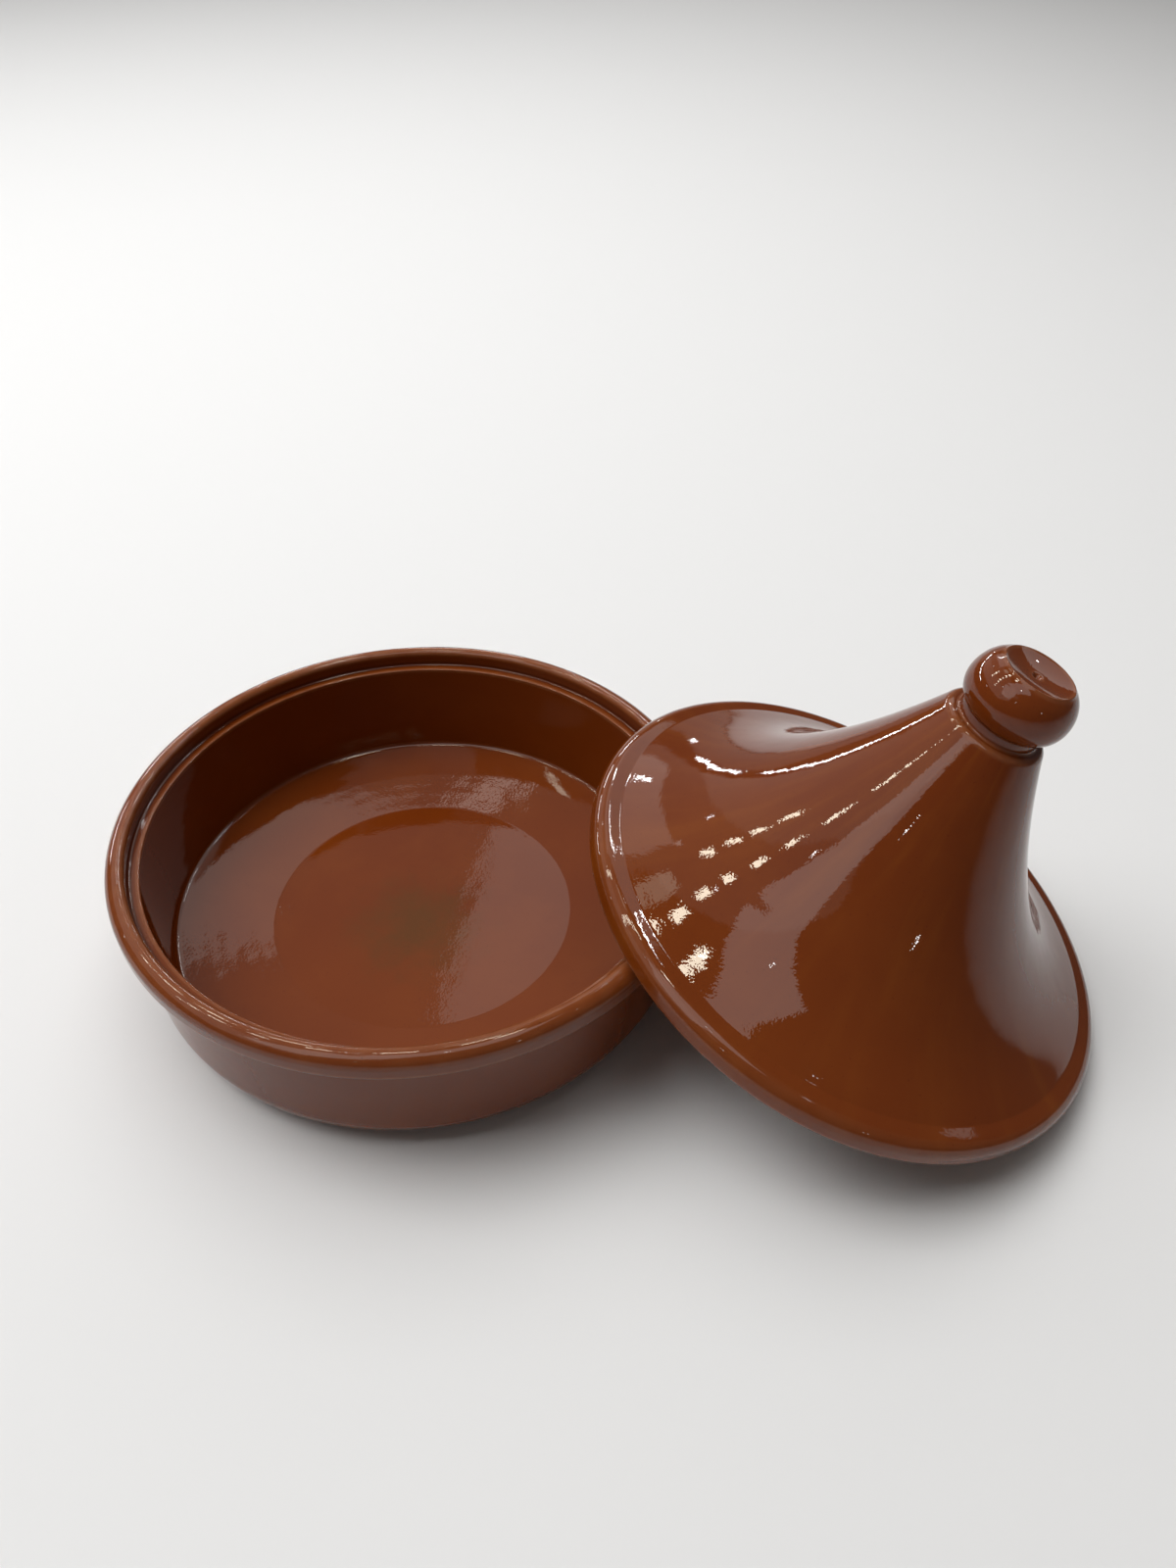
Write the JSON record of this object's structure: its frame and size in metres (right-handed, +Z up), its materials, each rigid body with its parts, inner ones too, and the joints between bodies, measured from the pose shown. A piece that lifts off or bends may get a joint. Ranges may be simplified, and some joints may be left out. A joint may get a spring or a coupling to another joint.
{
  "type": "tagine",
  "caption": "Glazed earthenware tagine: shallow round dish with a seated gallery, and a conical lid with a barrel knob that leans on the dish's rim",
  "frame": {"origin": "centre of the flat base of the dish, on the table", "axes": "+Z up out of the table; +X from the middle of the dish towards the leaning lid; +Y level, across the two"},
  "size_m": [0.4708, 0.28, 0.193],
  "materials": {
    "dish_glaze": "glossy transparent brown glaze over red earthenware",
    "lid_glaze": "glossy transparent brown glaze over red earthenware, thinner and lighter on the edges",
    "knob_glaze": "glossy transparent brown glaze over red earthenware"
  },
  "bodies": {
    "dish": {"dish": "dish_glaze"},
    "lid": {"lid": "lid_glaze", "lid_knob": "knob_glaze"}
  },
  "joints": [
    {"name": "lid_lift", "type": "slide", "parent": "dish", "child": "lid", "axis": [0, 0, 1], "range_m": [0, 0.12]}
  ]
}
